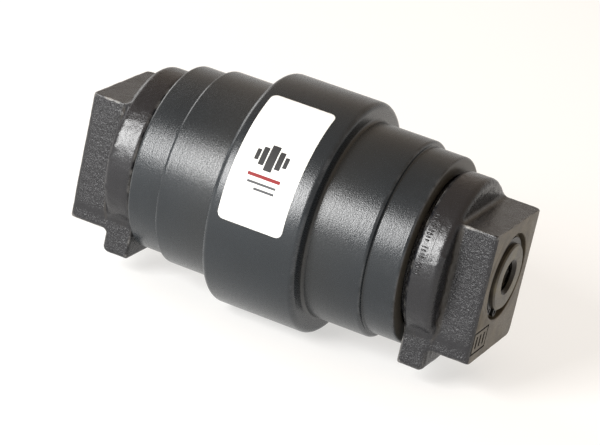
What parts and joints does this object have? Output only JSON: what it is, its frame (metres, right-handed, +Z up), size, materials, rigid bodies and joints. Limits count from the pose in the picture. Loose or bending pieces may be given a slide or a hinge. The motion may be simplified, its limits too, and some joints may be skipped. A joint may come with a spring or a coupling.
{
  "type": "track roller",
  "caption": "Centre-flange bottom track roller for a mini excavator, turning on a fixed shaft held by end collars with keying blocks.",
  "frame": {"origin": "on the shaft's axis, midway between the two end faces, the centre of the part's box", "axes": "+Y along the shaft, the axis of spin; +Z up through the flat tops of the collar blocks, as fitted under a track frame"},
  "size_m": [0.1099, 0.2044, 0.1096],
  "materials": {
    "shell_paint": "satin dark charcoal paint on forged and turned steel",
    "collar_paint": "dark charcoal paint on rough cast steel, end face machined",
    "shaft_steel": "ground steel with a thin oil film",
    "black_oxide": "black oxide",
    "bush_bronze": "machined bronze",
    "seal_iron": "lapped chilled iron",
    "seal_rubber": "matt nitrile rubber",
    "label_vinyl": "white vinyl, slightly glossy"
  },
  "bodies": {
    "axle": {"axle_shaft": "shaft_steel", "oil_filler_plug": "black_oxide", "retaining_ring_near": "black_oxide", "retaining_ring_far": "black_oxide", "shaft_o_ring_near": "seal_rubber", "shaft_o_ring_far": "seal_rubber"},
    "roller": {"roller_shell": "shell_paint", "flange_label": "label_vinyl", "bush_near": "bush_bronze", "bush_far": "bush_bronze", "seal_ring_shell_near": "seal_iron", "seal_ring_shell_far": "seal_iron", "toric_ring_shell_near": "seal_rubber", "toric_ring_shell_far": "seal_rubber"},
    "collar_near": {"end_collar_near": "collar_paint", "seal_ring_collar_near": "seal_iron", "toric_ring_collar_near": "seal_rubber"},
    "collar_far": {"end_collar_far": "collar_paint", "seal_ring_collar_far": "seal_iron", "toric_ring_collar_far": "seal_rubber"}
  },
  "joints": [
    {"name": "roller_spin", "type": "hinge", "parent": "axle", "child": "roller", "pos_m": [0, 0, 0], "axis": [0, 1, 0], "continuous": true},
    {"name": "near_collar_swivel", "type": "hinge", "parent": "axle", "child": "collar_near", "pos_m": [0, -0.08, 0], "axis": [0, 1, 0], "continuous": true},
    {"name": "far_collar_swivel", "type": "hinge", "parent": "axle", "child": "collar_far", "pos_m": [0, 0.08, 0], "axis": [0, 1, 0], "continuous": true}
  ]
}
